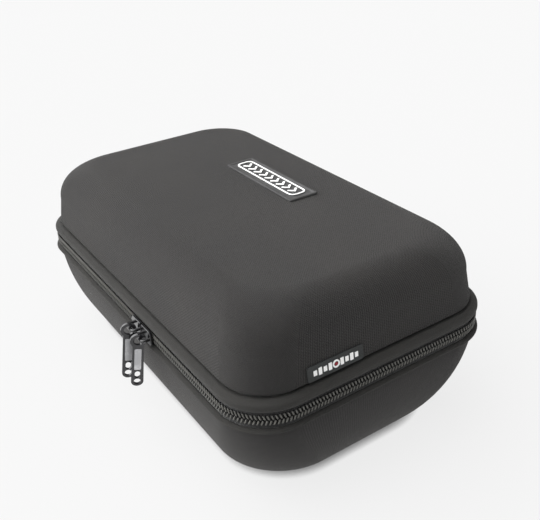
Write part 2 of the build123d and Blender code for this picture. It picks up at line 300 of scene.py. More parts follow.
def shell(name, outer, inner):
    """A closed moulded shell between two surfaces, each given by its levels from the rim to the middle.

    Its UVs are the cloth unfolded from the flat, in metres, so a weave runs straight down each side."""
    places = stations()
    columns = len(places)
    flat_start = -FLAT_STEPS - 1  # the level at the edge of the flat, counted from the last
    vertices, uvs, faces = [], [], []
    for levels in (outer, inner):
        start = len(vertices)
        rings = [outline(places, inset, radius) for _, inset, radius in levels]
        edge, normals = rings[flat_start]
        profile = np.array([(inset, z) for z, inset, _ in levels])
        lengths = arc_lengths(profile)
        for index, ((z, _, _), (points, _)) in enumerate(zip(levels, rings)):
            run = max(0.0, lengths[flat_start] - lengths[index])
            on_flat = index > len(levels) + flat_start
            cloth = points if on_flat else edge + normals * run
            vertices.extend((x, y, z) for x, y in points)
            uvs.extend(cloth)
        rows = len(levels)
        faces += grid_faces(rows, columns, start=start)
        faces.append(tuple(start + (rows - 1) * columns + j for j in range(columns)))
    inner_start = len(outer) * columns
    for j in range(columns):
        m = (j + 1) % columns
        faces.append((j, m, inner_start + m, inner_start + j))
    return tidy_normals(make_object(name, vertices, faces, uvs))


def tube(points, radii, sides):
    """Vertices and faces of a round tube along a line of points, with a radius at each."""
    points = np.asarray(points, float)
    count = len(points)
    tangent = np.vstack([points[1:], points[-1:]]) - np.vstack([points[:1], points[:-1]])
    tangent /= np.linalg.norm(tangent, axis=1)[:, None]
    side = np.cross(tangent[0], (0.0, 0.0, 1.0))
    if np.linalg.norm(side) < 1e-6:
        side = np.array((1.0, 0.0, 0.0))
    vertices = []
    for k in range(count):
        side = side - tangent[k] * side.dot(tangent[k])
        side = side / np.linalg.norm(side)
        other = np.cross(tangent[k], side)
        for s in range(sides):
            turn = 2 * math.pi * s / sides
            vertices.append(points[k] + radii[k] * (math.cos(turn) * side + math.sin(turn) * other))
    faces = grid_faces(count, sides)
    faces.append(tuple(reversed(range(sides))))
    faces.append(tuple((count - 1) * sides + s for s in range(sides)))
    return vertices, faces


def finish_edges(obj, width, segments=2, angle=35):
    """Small bevels, on edges sharper than an angle in degrees, that catch the light."""
    bevel = obj.modifiers.new("edges", "BEVEL")
    bevel.width = width
    bevel.segments = segments
    bevel.limit_method = "ANGLE"
    bevel.angle_limit = math.radians(angle)
    for polygon in obj.data.polygons:
        polygon.use_smooth = True
    return obj


# ---------------------------------------------------------------- materials


class Surface:
    """A material with a Principled shader, and short calls for its nodes."""

    def __init__(self, name, **sockets):
        self.material = bpy.data.materials.new(name)
        self.material.use_nodes = True
        self.tree = self.material.node_tree
        self.tree.nodes.clear()
        self.shader = self.node("ShaderNodeBsdfPrincipled")
        output = self.node("ShaderNodeOutputMaterial")
        self.tree.links.new(self.shader.outputs["BSDF"], output.inputs["Surface"])
        for key, value in sockets.items():
            self.shader.inputs[key.replace("_", " ")].default_value = value

    def node(self, kind, **settings):
        made = self.tree.nodes.new(kind)
        for key, value in settings.items():
            setattr(made, key, value)
        return made

    def link(self, source, target):
        self.tree.links.new(source, target)

    def place(self, target, value):
        """Links a socket to the target, or sets the target to a plain value."""
        if hasattr(value, "links"):
            self.link(value, target)
        else:
            target.default_value = value

    def math(self, operation, a, b=0.0, c=0.0):
        made = self.node("ShaderNodeMath", operation=operation)
        for target, value in zip(made.inputs, (a, b, c)):
            self.place(target, value)
        return made.outputs[0]

    def mix(self, share, a, b):
        """From a to b by a share. Each is a colour or a socket."""
        made = self.node("ShaderNodeMix", data_type="RGBA")
        self.place(made.inputs["Factor"], share)
        for key, value in (("A", a), ("B", b)):
            target = next(s for s in made.inputs if s.name == key and s.type == "RGBA")
            self.place(target, (*value, 1.0) if isinstance(value, tuple) else value)
        return next(s for s in made.outputs if s.type == "RGBA")

    def cloth_uv(self):
        """The piece's own u and v, in metres."""
        split = self.node("ShaderNodeSeparateXYZ")
        self.link(self.node("ShaderNodeUVMap", uv_map="cloth").outputs[0], split.inputs[0])
        return split.outputs[0], split.outputs[1]

    def position(self):
        return self.node("ShaderNodeTexCoord").outputs["Object"]

    def noise(self, scale, detail=3.0, roughness=0.55, stretch=None):
        """Noise with this many swells for each metre."""
        made = self.node("ShaderNodeTexNoise")
        made.inputs["Scale"].default_value = scale
        made.inputs["Detail"].default_value = detail
        made.inputs["Roughness"].default_value = roughness
        source = self.position()
        if stretch:
            mapping = self.node("ShaderNodeMapping")
            mapping.inputs["Scale"].default_value = stretch
            self.link(source, mapping.inputs["Vector"])
            source = mapping.outputs[0]
        self.link(source, made.inputs["Vector"])
        return made.outputs["Fac"]

    def span(self, value, low, high, to_low=0.0, to_high=1.0):
        """Maps low to to_low and high to to_high."""
        made = self.node("ShaderNodeMapRange")
        for key, number in (("From Min", low), ("From Max", high), ("To Min", to_low), ("To Max", to_high)):
            made.inputs[key].default_value = number
        self.link(value, made.inputs["Value"])
        return made.outputs[0]

    def bump(self, height, distance, strength=1.0, over=None):
        """A normal from a height of 0 to 1 that stands for a distance in metres, on top of another normal."""
        made = self.node("ShaderNodeBump")
        made.inputs["Distance"].default_value = distance
        made.inputs["Strength"].default_value = strength
        self.link(height, made.inputs["Height"])
        if over is not None:
            self.link(over, made.inputs["Normal"])
        return made.outputs[0]

    def cells(self, feature, scale):
        """A Voronoi texture with this many cells for each metre."""
        made = self.node("ShaderNodeTexVoronoi", feature=feature)
        made.inputs["Scale"].default_value = scale
        self.link(self.position(), made.inputs["Vector"])
        return made

    def cell_number(self, voronoi):
        """A random number from 0 to 1 for each of its cells."""
        split = self.node("ShaderNodeSeparateColor")
        self.link(voronoi.outputs["Color"], split.inputs[0])
        return split.outputs[0]

    def colour(self, value):
        self.place(self.shader.inputs["Base Color"], value)

    def normal(self, value):
        self.link(value, self.shader.inputs["Normal"])

    def roughness(self, value):
        self.place(self.shader.inputs["Roughness"], value)


def scaled(colour, factor, offset=0.0):
    """A lighter or darker colour."""
    return tuple(c * factor + offset for c in colour)


def weave_height(surface, pitch):
    """Height of a plain weave from the cloth UVs: warp and weft take turns on top, by a checker of cells."""
    u, v = (surface.math("MULTIPLY", value, 1 / pitch) for value in surface.cloth_uv())
    across = [surface.math("ABSOLUTE", surface.math("SINE", surface.math("MULTIPLY", w, math.pi))) for w in (u, v)]
    cells = surface.math("ADD", surface.math("FLOOR", u), surface.math("FLOOR", v))
    checker = surface.math("PINGPONG", cells, 1.0)
    swells = [surface.math("MULTIPLY_ADD", along, 0.45, 0.55) for along in reversed(across)]
    warp, weft = (surface.math("MULTIPLY", *pair) for pair in zip(across, swells))
    return surface.math(
        "ADD",
        surface.math("MULTIPLY", warp, checker),
        surface.math("MULTIPLY", weft, surface.math("SUBTRACT", 1.0, checker)),
    )


WARMER = (1.06, 1.0, 0.93)
LINT_COLOUR = (0.35, 0.34, 0.32)
LINT_SCALE = 34.0
LINT_RADIUS = 0.011


def woven(name, thread, shade, pitch, depth, lint=0.0):
    """Woven cloth: thread is the colour of a thread's crown, shade the colour between threads.

    lint is the share of the cells of a coarse pattern that have a speck."""
    surface = Surface(name, Specular_IOR_Level=0.25, Sheen_Weight=0.1, Sheen_Roughness=0.45)
    surface.shader.inputs["Sheen Tint"].default_value = (0.75, 0.74, 0.72, 1.0)
    height = weave_height(surface, pitch)
    fibres = surface.noise(2400, 2.0, 0.6)
    patches = surface.noise(26, 3.0, 0.5)
    grown = surface.math("MULTIPLY", height, surface.span(fibres, 0.25, 0.75, 0.75, 1.15))
    tone = surface.mix(surface.span(grown, 0.15, 0.95), shade, thread)
    warm = tuple(c * f for c, f in zip(thread, WARMER))
    tone = surface.mix(surface.span(patches, 0.35, 0.75, 0.0, 0.24), tone, warm)
    if lint:
        specks = surface.cells("F1", LINT_SCALE)
        near = surface.math("LESS_THAN", specks.outputs["Distance"], LINT_RADIUS)
        lucky = surface.math("GREATER_THAN", surface.cell_number(specks), 1 - lint)
        tone = surface.mix(surface.math("MULTIPLY", near, lucky), tone, LINT_COLOUR)
    surface.colour(tone)
    surface.roughness(surface.span(grown, 0.0, 1.0, 0.94, 0.8))
    coarse = surface.bump(surface.noise(220, 5.0, 0.7), 0.4 * MM, 0.6)
    surface.normal(surface.bump(grown, depth, 0.9, over=coarse))
    return surface.material


def brushed(name, base):
    """Soft napped cloth or tricot."""
    surface = Surface(name, Specular_IOR_Level=0.2, Sheen_Weight=0.5, Sheen_Roughness=0.4)
    nap = surface.noise(900, 4.0, 0.65)
    patches = surface.noise(40, 2.0)
    tone = surface.mix(surface.span(nap, 0.35, 0.7), base, scaled(base, 1.7))
    surface.colour(surface.mix(surface.span(patches, 0.4, 0.7, 0.0, 0.5), tone, scaled(base, 0.75)))
    surface.roughness(surface.span(nap, 0.3, 0.7, 0.98, 0.85))
    surface.normal(surface.bump(nap, 0.12 * MM, 0.8))
    return surface.material


def ribbed(name, base, pitch, depth):
    """Woven tape with fine ribs that step along its length, and a slanted twill over them."""
    surface = Surface(name, Specular_IOR_Level=0.3, Sheen_Weight=0.3, Sheen_Roughness=0.5)
    u, v = surface.cloth_uv()
    step = surface.math("MULTIPLY", u, math.pi / pitch)
    other = surface.math("MULTIPLY", v, math.pi / (pitch * 1.6))
    rib = surface.math("ABSOLUTE", surface.math("SINE", step))
    cross = surface.math("ABSOLUTE", surface.math("SINE", surface.math("ADD", other, step)))
    height = surface.math("MULTIPLY_ADD", cross, 0.4, surface.math("MULTIPLY", rib, 0.6))
    fibres = surface.noise(2600, 2.0)
    grown = surface.math("MULTIPLY", height, surface.span(fibres, 0.3, 0.7, 0.7, 1.2))
    surface.colour(surface.mix(surface.span(grown, 0.1, 0.9), scaled(base, 0.45), scaled(base, 1.9)))
    surface.roughness(surface.span(grown, 0.0, 1.0, 0.95, 0.8))
    surface.normal(surface.bump(grown, depth, 0.9))
    return surface.material


def nylon(name, base):
    """Satin nylon with a little dust."""
    surface = Surface(name, Specular_IOR_Level=0.5)
    grain = surface.noise(1500, 3.0)
    dust = surface.noise(300, 3.0, 0.7)
    surface.colour(surface.mix(surface.span(dust, 0.45, 0.75), base, scaled(base, 1.5)))
    surface.roughness(surface.span(grain, 0.3, 0.7, 0.34, 0.5))
    surface.normal(surface.bump(grain, 0.03 * MM, 0.5))
    return surface.material


def coil_nylon(name, crown, painted_shade):
    """Satin monofilament, with painted shade: its colour darkens from the crown at the front of each loop to near
    black at its back. Its second UV runs from the tape, 0, to the front of each loop, 1.
    """
    surface = Surface(name, Specular_IOR_Level=0.4)
    _, front = surface.cloth_uv()
    grain = surface.noise(1500, 3.0)
    # painted shade: the back of each loop, where it faces the tape, takes the dark colour
    lit = surface.math("MULTIPLY", surface.span(front, 0.72, 1.0), surface.span(grain, 0.3, 0.7, 0.75, 1.15))
    surface.colour(surface.mix(lit, painted_shade, crown))
    surface.roughness(surface.span(grain, 0.3, 0.7, 0.36, 0.5))
    surface.normal(surface.bump(grain, 0.03 * MM, 0.5))
    return surface.material


def coated_metal(name, base, roughness, metallic):
    """Glossy coated zinc with fine scratches and rubbed spots."""
    surface = Surface(name, Metallic=metallic, Coat_Weight=0.6, Coat_Roughness=0.08)
    scratches = surface.noise(500, 5.0, 0.7, stretch=(1.0, 1.0, 9.0))
    rubbed = surface.noise(160, 3.0, 0.6)
    surface.colour(surface.mix(surface.span(rubbed, 0.5, 0.8, 0.0, 0.7), base, scaled(base, 2.2, 0.02)))
    surface.roughness(surface.span(scratches, 0.3, 0.75, roughness, roughness + 0.16))
    surface.normal(surface.bump(scratches, 0.02 * MM, 0.4))
    return surface.material


def foam_material(name, base):
    """Closed-cell foam: tiny cells on every cut face."""
    surface = Surface(name, Specular_IOR_Level=0.25)
    pores = surface.cells("SMOOTH_F1", 1300.0).outputs["Distance"]
    clouds = surface.noise(60, 3.0)
    tone = surface.mix(surface.span(pores, 0.1, 0.7), base, scaled(base, 1.8))
    surface.colour(surface.mix(surface.span(clouds, 0.4, 0.7, 0.0, 0.6), tone, scaled(base, 0.8)))
    surface.roughness(surface.span(clouds, 0.3, 0.7, 0.9, 0.97))
    surface.normal(surface.bump(pores, 0.2 * MM, 0.7))
    return surface.material


def moulded_rubber(name, base, grain_scale=700, roughness=0.55):
    """Soft moulded rubber with a fine grain."""
    surface = Surface(name, Specular_IOR_Level=0.45)
    grain = surface.noise(grain_scale, 4.0, 0.6)
    dust = surface.noise(90, 4.0, 0.65)
    surface.colour(surface.mix(surface.span(dust, 0.45, 0.8), base, scaled(base, 1.6, 0.01)))
    surface.roughness(surface.span(grain, 0.3, 0.7, roughness, roughness + 0.2))
    surface.normal(surface.bump(grain, 0.08 * MM, 0.6))
    return surface.material


def printed(name, ink, worn):
    """Raised print, a little worn at its edges."""
    surface = Surface(name, Specular_IOR_Level=0.4)
    wear = surface.noise(420, 5.0, 0.7)
    surface.colour(surface.mix(surface.span(wear, 0.55, 0.8, 0.0, 0.8), ink, worn))
    surface.roughness(surface.span(wear, 0.3, 0.7, 0.5, 0.7))
    surface.normal(surface.bump(wear, 0.05 * MM, 0.5))
    return surface.material


def net(name, base, pitch):
    """Knitted net: nylon with rows of small round holes."""
    surface = Surface(name, Specular_IOR_Level=0.4)
    u, v = surface.cloth_uv()
    steps = [surface.math("MULTIPLY", surface.math(kind, u, v), math.pi / pitch) for kind in ("ADD", "SUBTRACT")]
    both = surface.math("ABSOLUTE", surface.math("MULTIPLY", *(surface.math("SINE", step) for step in steps)))
    fibres = surface.noise(1800, 2.0)
    surface.colour(surface.mix(surface.span(fibres, 0.3, 0.7), base, scaled(base, 1.7)))
    surface.roughness(surface.span(fibres, 0.3, 0.7, 0.6, 0.8))
    surface.normal(surface.bump(fibres, 0.05 * MM, 0.6))
    surface.link(surface.math("LESS_THAN", both, 0.42), surface.shader.inputs["Alpha"])
    return surface.material


LOOKS = {
    "outer_fabric": (woven, (0.034, 0.0324, 0.0318), (0.0075, 0.0072, 0.0072), 0.7 * MM, 0.3 * MM, 0.2),
    "base_fabric": (woven, (0.028, 0.0267, 0.0264), (0.014, 0.0134, 0.0132), 0.34 * MM, 0.06 * MM, 0.2),
    "band_fabric": (woven, (0.034, 0.0332, 0.0312), (0.012, 0.0117, 0.011), 0.4 * MM, 0.08 * MM),
    "hinge_fabric": (woven, (0.036, 0.034, 0.034), (0.006, 0.0057, 0.0057), 0.9 * MM, 0.3 * MM),
    "lining_fabric": (brushed, (0.035, 0.035, 0.037)),
    # the zip tape's black is made darker still, as painted shade in the recess round the coil
    "zip_tape": (ribbed, (0.005, 0.005, 0.005), 0.5 * MM, 0.15 * MM),
    # the coil's second colour is painted shade for the backs of its loops
    "coil_nylon": (coil_nylon, (0.095, 0.093, 0.084), (0.002, 0.002, 0.002)),
    "binding_fabric": (ribbed, (0.009, 0.009, 0.009), 0.7 * MM, 0.15 * MM),
    "elastic": (ribbed, (0.025, 0.025, 0.026), 1.6 * MM, 0.4 * MM),
    "foam": (foam_material, (0.03, 0.03, 0.032)),
    "mesh_fabric": (net, (0.03, 0.03, 0.031), 2.4 * MM),
    "patch_rubber": (moulded_rubber, (0.03, 0.0295, 0.0295)),
    "label_cloth": (moulded_rubber, (0.014, 0.0155, 0.0155), 1200, 0.6),
    "motif_white": (printed, (0.82, 0.82, 0.81), (0.45, 0.45, 0.44)),
    "motif_red": (printed, (0.22, 0.012, 0.02), (0.1, 0.01, 0.012)),
    "slider_metal": (coated_metal, (0.012, 0.012, 0.013), 0.1, 0.5),
    "pull_metal": (coated_metal, (0.02, 0.02, 0.022), 0.14, 0.5),
    # the plates' light colour is a painted reflection of the surroundings on each pull tab's flat middle
    "plate_metal": (coated_metal, (0.42, 0.42, 0.43), 0.3, 0.85),
    "thread": (nylon, (0.09, 0.09, 0.09)),
}
MATERIALS = {name: make(name, *values) for name, (make, *values) in LOOKS.items()}


def dress(obj, material, body, slot, *replaced):
    """Gives a piece its material, its body and the CAD nodes that it stands for. slot is not used."""
    obj.data.materials.clear()
    obj.data.materials.append(MATERIALS[material])
    if replaced:
        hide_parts(*replaced)
    if body:
        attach(obj, body)
    return obj


def dress_node(node, material):
    """Gives a CAD node that stays in view its material."""
    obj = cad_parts[node]
    obj.data.materials.clear()
    obj.data.materials.append(MATERIALS[material])
    return obj


# ---------------------------------------------------------------- camera, light and floor

VIEW_DEGREES = (57.49, 29.35, -2.73)  # azimuth, elevation and roll
DISTANCE = 0.4274
SHIFT_RIGHT, SHIFT_UP = 0.01588, -0.00266
AIM = Vector((0.0, 0.0, 0.06433))
SENSOR_MM = 36.0
LENS_MM = 49.432667


def make_camera():
    """The camera at the place that the object was seen from."""
    azimuth, elevation, roll = (math.radians(angle) for angle in VIEW_DEGREES)
    level = math.cos(elevation)
    back = Vector((math.sin(azimuth) * level, -math.cos(azimuth) * level, math.sin(elevation)))
    right = Vector((0, 0, 1)).cross(back).normalized()
    up = back.cross(right)
    right, up = (
        right * math.cos(roll) + up * math.sin(roll),
        up * math.cos(roll) - right * math.sin(roll),
    )
    camera = bpy.data.objects.new("camera", bpy.data.cameras.new("camera"))
    bpy.context.scene.collection.objects.link(camera)
    camera.data.sensor_width = SENSOR_MM
    camera.data.lens = LENS_MM
    camera.data.clip_start = 0.01
    camera.data.clip_end = 100.0
    camera.matrix_world = Matrix((right, up, back)).transposed().to_4x4()
    camera.location = AIM + back * DISTANCE + right * SHIFT_RIGHT + up * SHIFT_UP
    bpy.context.scene.camera = camera


LIGHT_FROM = (-0.55, -0.76, 0.9)
SKY_DARK = 0.02
SKY_BRIGHT = 5.5
SKY_FALLOFF = 2.0
FLOOR_HALF = 4.0
FLOOR_GREY = 0.07
PAINTED_SHADOW_REACH = 6 * MM


def make_world():
    """A soft studio surround, bright towards the light's side and dim on the other."""
    world = bpy.data.worlds.new("studio")
    bpy.context.scene.world = world
    world.use_nodes = True
    nodes, links = world.node_tree.nodes, world.node_tree.links
    background = nodes["Background"]
    background.inputs["Color"].default_value = (1.0, 1.0, 1.0, 1.0)
    facing = nodes.new("ShaderNodeVectorMath")
    facing.operation = "DOT_PRODUCT"
    facing.inputs[1].default_value = Vector(LIGHT_FROM).normalized()
    links.new(nodes.new("ShaderNodeTexCoord").outputs["Generated"], facing.inputs[0])
    share = nodes.new("ShaderNodeMath")
    share.operation = "POWER"
    share.use_clamp = True
    share.inputs[1].default_value = SKY_FALLOFF
    links.new(facing.outputs["Value"], share.inputs[0])
    strength = nodes.new("ShaderNodeMapRange")
    strength.inputs["To Min"].default_value = SKY_DARK
    strength.inputs["To Max"].default_value = SKY_BRIGHT
    links.new(share.outputs[0], strength.inputs["Value"])
    links.new(strength.outputs[0], background.inputs["Strength"])


def make_stage():
    """A pale floor that glows a little, with soft contact shadows painted into its glow by ambient occlusion, and
    the studio surround.
    """
    make_world()
    corners = [(x * FLOOR_HALF, y * FLOOR_HALF, 0) for x, y in ((-1, -1), (1, -1), (1, 1), (-1, 1))]
    floor = make_object("floor", corners, [(0, 1, 2, 3)], smooth=False)
    surface = Surface("floor", Specular_IOR_Level=0.0)
    surface.colour((FLOOR_GREY, FLOOR_GREY, FLOOR_GREY, 1.0))
    surface.roughness(1.0)
    # painted contact shadow: ambient occlusion dims the floor's glow near the case
    contact = surface.node("ShaderNodeAmbientOcclusion", samples=8)
    contact.inputs["Distance"].default_value = PAINTED_SHADOW_REACH
    glow_with_painted_shadow = surface.span(contact.outputs["AO"], 0.15, 0.75, 0.1, 0.8)
    surface.link(glow_with_painted_shadow, surface.shader.inputs["Emission Strength"])
    surface.shader.inputs["Emission Color"].default_value = (1.0, 1.0, 1.0, 1.0)
    floor.data.materials.append(surface.material)
    bpy.context.scene.view_settings.view_transform = "Standard"


# ---------------------------------------------------------------- the moulded shells and their linings

EDGE_TUCK = 1.0 * MM  # of the cover at the seam


def make_shells():
    """Both fabric-covered shells and both linings."""
    lid = shell("lid_cover", lid_surface(0.0, EDGE_TUCK), lid_surface(WALL))
    dress(lid, "outer_fabric", "lid", "outer_fabric", "lid_shell")
    base = shell("base_cover", base_surface(0.0), base_surface(WALL))
    dress(base, "base_fabric", "base", "outer_fabric", "base_shell")
    lid_inside = shell("lid_lining_cloth", lid_surface(WALL), lid_surface(WALL + LINING))
    dress(lid_inside, "lining_fabric", "lid", "lining_fabric", "lid_lining")
    base_inside = shell("base_lining_cloth", base_surface(WALL), base_surface(WALL + LINING))
    dress(base_inside, "lining_fabric", "base", "lining_fabric", "base_lining")


# ---------------------------------------------------------------- band, welt, lip, tapes and bindings

RIPPLE_SCALES = (1.0, 1.7, 2.9, 4.3)


def ripple(size, length, seed):
    """Small uneven swells along a sewn strip: a shift outwards and a lift for each distance along it."""
    phases = np.random.default_rng(seed).uniform(0, 2 * math.pi, len(RIPPLE_SCALES))

    def at(u):
        swell = sum(math.sin(2 * math.pi * u / (length * f) + p) / f for f, p in zip(RIPPLE_SCALES, phases))
        return size * swell, size * 0.6 * swell

    return at


def rounded(corners, steps=4):
    """A section outline with each corner cut to a smooth curve. corners are (inset, z, radius)."""
    points = []
    count = len(corners)
    for k in range(count):
        here = np.array(corners[k][:2])
        before, after = (np.array(corners[(k + d) % count][:2]) for d in (-1, 1))
        radius = corners[k][2]
        if radius <= 0:
            points.append(tuple(here))
            continue
        back, forth = before - here, after - here
        back_length, forth_length = np.linalg.norm(back), np.linalg.norm(forth)
        reach = min(radius, 0.48 * back_length, 0.48 * forth_length)
        start = here + back / back_length * reach
        end = here + forth / forth_length * reach
        for step in range(steps + 1):
            t = step / steps
            points.append(tuple((1 - t) ** 2 * start + 2 * t * (1 - t) * here + t**2 * end))
    return points


def strip_section(inset, thick, low_z, high_z, low_radius, high_radius, steps):
    """The section of a flat strip that stands on edge, with rounded corners."""
    low, high = (low_z, low_radius), (high_z, high_radius)
    return rounded([(inset, *low), (inset, *high), (inset + thick, *high), (inset + thick, *low)], steps)


GROOVE_DEPTH = 2.5 * MM  # of the groove between the band and the lid's shell
GROOVE_HEIGHT = 1.3 * MM  # from the band's upper edge to the seam
GROOVE_FLOOR = 1.9 * MM  # from the bottom of the groove to the seam
TAPE_THICK = 0.7 * MM
BINDING_THICK = 1.0 * MM


def make_strips():
    """The strips that run round the case between the two shells."""
    foot = band_low.z
    shoulder = HALF_X - band_high.x
    groove = SEAM_INSET + GROOVE_DEPTH
    band = rounded([
        (TAPE_INSET, foot, 0),
        (shoulder + 0.9 * MM, foot + 0.1 * MM, 0.4 * MM),
        (shoulder, foot + 1.5 * MM, 1.6 * MM),
        (shoulder + 0.1 * MM, foot + 3.9 * MM, 2.4 * MM),
        (SEAM_INSET - 0.2 * MM, SEAM_Z - GROOVE_HEIGHT, 0.9 * MM),
        (groove, SEAM_Z - GROOVE_FLOOR, 0.3 * MM),
        (groove + 1.0 * MM, SEAM_Z - GROOVE_FLOOR, 0),
        (TAPE_INSET + 0.8 * MM, foot + 2.6 * MM, 0),
        (TAPE_INSET, foot + 1.4 * MM, 0),
    ], 6)
    piece = sweep_ring("lid_band_cloth", band, wobble=ripple(0.05 * MM, 31 * MM, 3))
    dress(piece, "band_fabric", "lid", "band_fabric", "lid_band")

    welt = rounded([
        (groove - 0.1 * MM, SEAM_Z - 2.0 * MM, 0.3 * MM),
        (groove - 0.1 * MM, SEAM_Z + 0.2 * MM, 0.3 * MM),
        (SEAM_INSET + WALL, SEAM_Z + 0.2 * MM, 0),
        (SEAM_INSET + WALL, SEAM_Z - 2.0 * MM, 0),
    ])
    dress(sweep_ring("lid_seam_cord", welt), "binding_fabric", "lid", "binding_fabric", "lid_seam_welt")

    low, high = lip_low.z, lip_high.z
    lip = rounded([
        (BASE_INSET + 0.2 * MM, low - 0.3 * MM, 0.2 * MM),
        (0.35 * MM, low + 0.1 * MM, 0.5 * MM),
        (0.0, low + 0.75 * MM, 0.5 * MM),
        (0.5 * MM, low + 1.2 * MM, 0.5 * MM),
        (TAPE_INSET - 0.6 * MM, high - 0.8 * MM, 0.5 * MM),
        (TAPE_INSET, high - 0.9 * MM, 0),
        (TAPE_INSET, low - 0.3 * MM, 0),
    ], 5)
    piece = sweep_ring("base_lip_cloth", lip, gap=HINGE_HALF, wobble=ripple(0.05 * MM, 23 * MM, 5))
    dress(piece, "band_fabric", "base", "band_fabric", "base_lip")

    for body in ("base", "lid"):
        name = f"{body}_zip_tape"
        lower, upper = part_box(name)
        section = strip_section(TAPE_INSET, TAPE_THICK, lower.z, upper.z, 0.1 * MM, 0.2 * MM, 2)
        dress(sweep_ring(f"{name}_cloth", section), "zip_tape", body, "zip_tape", name)
    for body in ("base", "lid"):
        name = f"{body}_inner_binding"
        lower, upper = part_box(name)
        section = strip_section(HALF_X - upper.x, BINDING_THICK, lower.z, upper.z, 0.4 * MM, 0.5 * MM, 4)
        piece = sweep_ring(f"{name}_cloth", section, wobble=ripple(0.04 * MM, 17 * MM, 9))
        dress(piece, "binding_fabric", body, "binding_fabric", name)


# ---------------------------------------------------------------- the nylon coils

TOOTH_PITCH = 1.8 * MM
WIRE = 0.44 * MM  # radius of the monofilament
HEAD_GAP = 0.42 * MM  # from the middle of the chain to the middle of the wire in a head
COIL_DEPTH = 1.5 * MM
LOOP_STEPS = 16
COIL_SIDES = 6
SLANT = 0.15  # of a loop, in pitches
SQUARE_ACROSS, SQUARE_OUT = 0.6, 0.5  # powers below 1 make a loop squarer
HEAD_SWELL = 0.15  # share by which the wire is thicker in a head
THIN_BACK = 0.22  # share by which it is thinner at the back of a loop


def walk_outline(inset, gap):
    """A function from distance along the open outline to a point and its outward normal."""
    places = stations(gap, 4)
    points, normals = outline(places, inset, CORNER - inset)
    along = arc_lengths(points)

    def at(distance):
        point = [np.interp(distance, along, points[:, k]) for k in (0, 1)]
        normal = np.array([np.interp(distance, along, normals[:, k]) for k in (0, 1)])
        return np.array(point), normal / np.linalg.norm(normal)

    return at, along[-1]


def make_coil(name, body, up, phase, replaced):
    """One side's coil: a squared helix of monofilament, with the heads of its loops towards the chain's middle.

    up is 1 above the middle and -1 below it. phase is a shift along the chain, in pitches."""
    at, total = walk_outline(COIL_INSET + COIL_DEPTH / 2, COIL_END)
    count = int(total / TOOTH_PITCH) - 1
    outer, inner = CHAIN_HALF - WIRE, HEAD_GAP
    reach, middle = (outer - inner) / 2, (outer + inner) / 2
    points, radii, lit_shares = [], [], []
    for step in range(count * LOOP_STEPS):
        turn = 2 * math.pi * step / LOOP_STEPS
        across = signed_power(math.cos(turn), SQUARE_ACROSS)
        out = signed_power(math.sin(turn), SQUARE_OUT)
        along = (step / LOOP_STEPS + phase + 0.5 - SLANT * across * 0.5) * TOOTH_PITCH
        point, normal = at(along)
        x, y = point + normal * out * (COIL_DEPTH / 2 - WIRE)
        points.append((x, y, CHAIN_Z + up * (middle + reach * across)))
        head = max(0.0, -across)
        radii.append(WIRE * (1.0 + HEAD_SWELL * head**4) * (1 - THIN_BACK + THIN_BACK * max(0.0, out)))
        # share towards the loop's front, by which the coil's material paints shade on the back of each loop
        lit_shares.append((out + 1) / 2)
    vertices, faces = tube(points, radii, COIL_SIDES)
    uvs = [(along, lit_shares[k // COIL_SIDES]) for k, along in enumerate(np.linspace(0, total, len(vertices)))]
    obj = tidy_normals(make_object(name, vertices, faces, uvs))
    dress(obj, "coil_nylon", body, "coil_nylon", replaced)


def make_coils():
    """Both coils, half a tooth apart."""
    make_coil("base_coil_teeth", "base", -1, 0.0, "base_zip_coil")
    make_coil("lid_coil_teeth", "lid", 1, 0.5, "lid_zip_coil")


# ---------------------------------------------------------------- stitching

STITCH_LENGTH = 2.6 * MM
STITCH_GAP = 0.8 * MM
STITCH_PITCH = STITCH_LENGTH + STITCH_GAP
STITCH_START = 2 * MM
STITCH_STEPS = 4
STITCH_SIDES = 5
THREAD_RADIUS = 0.16 * MM
THREAD_SINK = 0.05 * MM
STITCH_OPENING = 4 * MM  # each side of the middle of the back


def make_stitches():
    """Lockstitches along the inner bindings, each a short thread that dips into the cloth at both ends."""
    for body in ("base", "lid"):
        low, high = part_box(f"{body}_inner_binding")
        z = (low.z + high.z) / 2
        at, total = walk_outline(HALF_X - high.x + BINDING_THICK, STITCH_OPENING)
        vertices, faces = [], []
        for index in range(int((total - 2 * STITCH_START) / STITCH_PITCH)):
            begin = STITCH_START + index * STITCH_PITCH
            points = []
            for step in range(STITCH_STEPS + 1):
                share = step / STITCH_STEPS
                point, normal = at(begin + STITCH_LENGTH * share)
                lift = THREAD_RADIUS * (1.6 * math.sin(math.pi * share) - 0.8) - THREAD_SINK
                points.append((*(point + normal * lift), z))
            thread, sides = tube(points, [THREAD_RADIUS] * len(points), STITCH_SIDES)
            start = len(vertices)
            vertices.extend(thread)
            faces.extend(tuple(start + n for n in face) for face in sides)
        dress(make_object(f"{body}_stitches", vertices, faces), "thread", body, "binding_fabric")


# ---------------------------------------------------------------- patch and label

PATCH_DEPTH = 1.2 * MM  # from the underside of the CAD's patch on into the lid
PATCH_CORNER = 1.0 * MM
PATCH_RIM = 1.4 * MM
PATCH_RIM_HEIGHT = 0.3 * MM
PATCH_MIN_RADIUS = 0.15 * MM
PATCH_CORNER_STEPS = 5


